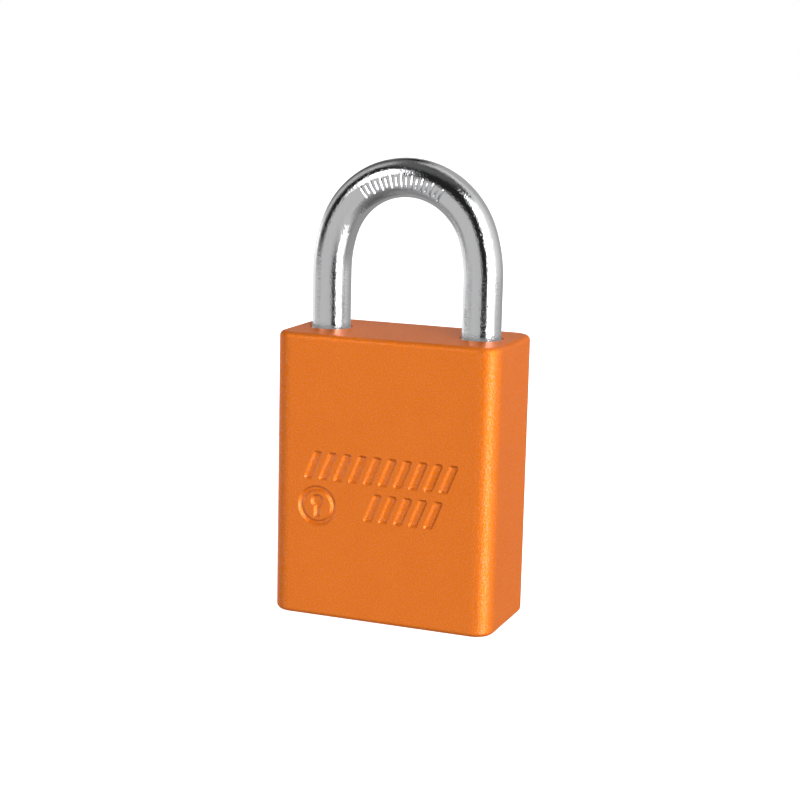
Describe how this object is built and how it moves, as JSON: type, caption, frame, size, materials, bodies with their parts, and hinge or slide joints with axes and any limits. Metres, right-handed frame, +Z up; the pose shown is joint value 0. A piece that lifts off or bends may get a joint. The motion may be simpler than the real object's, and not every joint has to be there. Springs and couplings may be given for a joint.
{
  "type": "safety padlock",
  "caption": "Keyed safety padlock with a rectangular anodised aluminium case, a bent round steel shackle and a pin cylinder opening from the base.",
  "frame": {"origin": "centre of the case's base", "axes": "+Z up through the shackle, front face with the stamped marks towards -Y, +X across the width towards the shackle's free leg"},
  "size_m": [0.0382, 0.0196, 0.075],
  "materials": {
    "case_anodised": "fine satin orange anodising over a blasted surface",
    "shackle_steel": "bright plating over hardened steel",
    "ball_steel": "polished hardened steel",
    "cam_metal": "turned steel",
    "spring_steel": "drawn spring wire",
    "shell_brass": "machined brass",
    "plug_brass": "nickel-plated brass",
    "pin_brass": "turned brass",
    "pin_steel": "turned steel",
    "screw_steel": "blackened steel"
  },
  "bodies": {
    "case": {"case_body": "case_anodised", "cylinder_shell": "shell_brass", "chamber_cover": "shell_brass", "cylinder_screw": "screw_steel", "cam_return_spring": "spring_steel", "shackle_spring": "spring_steel", "pin_spring_1": "spring_steel", "pin_spring_2": "spring_steel", "pin_spring_3": "spring_steel", "pin_spring_4": "spring_steel", "pin_spring_5": "spring_steel"},
    "shackle": {"shackle": "shackle_steel"},
    "plug": {"plug": "plug_brass", "plug_retaining_clip": "screw_steel"},
    "cam": {"locking_cam": "cam_metal"},
    "toe_ball": {"toe_ball": "ball_steel"},
    "heel_ball": {"heel_ball": "ball_steel"},
    "key_pin_1": {"key_pin_1": "pin_brass"},
    "key_pin_2": {"key_pin_2": "pin_brass"},
    "key_pin_3": {"key_pin_3": "pin_brass"},
    "key_pin_4": {"key_pin_4": "pin_brass"},
    "key_pin_5": {"key_pin_5": "pin_brass"},
    "driver_pin_1": {"driver_pin_1": "pin_steel"},
    "driver_pin_2": {"driver_pin_2": "pin_steel"},
    "driver_pin_3": {"driver_pin_3": "pin_steel"},
    "driver_pin_4": {"driver_pin_4": "pin_steel"},
    "driver_pin_5": {"driver_pin_5": "pin_steel"}
  },
  "joints": [
    {"name": "shackle_lift", "type": "slide", "parent": "case", "child": "shackle", "axis": [0, 0, 1], "range_m": [0, 0.0155], "deforming": ["shackle_spring"]},
    {"name": "plug_turn", "type": "hinge", "parent": "case", "child": "plug", "pos_m": [0, 0, 0], "axis": [0, 0, 1], "range_deg": [-90, 0]},
    {"name": "cam_turn", "type": "hinge", "parent": "case", "child": "cam", "pos_m": [0, 0, 0], "axis": [0, 0, 1], "range_deg": [-90.01, 0.01], "deforming": ["cam_return_spring"]},
    {"name": "toe_ball_slide", "type": "slide", "parent": "case", "child": "toe_ball", "axis": [1, 0, 0], "range_m": [0, 0.00171]},
    {"name": "heel_ball_slide", "type": "slide", "parent": "case", "child": "heel_ball", "axis": [-1, 0, 0], "range_m": [0, 0.00081]},
    {"name": "key_pin_1_slide", "type": "slide", "parent": "plug", "child": "key_pin_1", "axis": [0, 1, 0], "range_m": [-0.00183, 0]},
    {"name": "key_pin_2_slide", "type": "slide", "parent": "plug", "child": "key_pin_2", "axis": [0, 1, 0], "range_m": [-0.00093, 0]},
    {"name": "key_pin_3_slide", "type": "slide", "parent": "plug", "child": "key_pin_3", "axis": [0, 1, 0], "range_m": [-0.00223, 0]},
    {"name": "key_pin_4_slide", "type": "slide", "parent": "plug", "child": "key_pin_4", "axis": [0, 1, 0], "range_m": [-0.00053, 0]},
    {"name": "key_pin_5_slide", "type": "slide", "parent": "plug", "child": "key_pin_5", "axis": [0, 1, 0], "range_m": [-0.00143, 0]},
    {"name": "driver_pin_1_slide", "type": "slide", "parent": "case", "child": "driver_pin_1", "axis": [1, 0, 0], "range_m": [0, 0.0015], "stiffness_N_per_m": 60, "springref_m": -0.002, "deforming": ["pin_spring_1"]},
    {"name": "driver_pin_2_slide", "type": "slide", "parent": "case", "child": "driver_pin_2", "axis": [1, 0, 0], "range_m": [0, 0.0015], "stiffness_N_per_m": 60, "springref_m": -0.002, "deforming": ["pin_spring_2"]},
    {"name": "driver_pin_3_slide", "type": "slide", "parent": "case", "child": "driver_pin_3", "axis": [1, 0, 0], "range_m": [0, 0.0015], "stiffness_N_per_m": 60, "springref_m": -0.002, "deforming": ["pin_spring_3"]},
    {"name": "driver_pin_4_slide", "type": "slide", "parent": "case", "child": "driver_pin_4", "axis": [1, 0, 0], "range_m": [0, 0.0015], "stiffness_N_per_m": 60, "springref_m": -0.002, "deforming": ["pin_spring_4"]},
    {"name": "driver_pin_5_slide", "type": "slide", "parent": "case", "child": "driver_pin_5", "axis": [1, 0, 0], "range_m": [0, 0.0015], "stiffness_N_per_m": 60, "springref_m": -0.002, "deforming": ["pin_spring_5"]}
  ],
  "couplings": [
    {"joint": "cam_turn", "follows": "plug_turn", "ratio": 1},
    {"joint": "toe_ball_slide", "follows": "plug_turn", "m_per_rad": -0.0010823},
    {"joint": "heel_ball_slide", "follows": "plug_turn", "m_per_rad": -0.0005093}
  ]
}
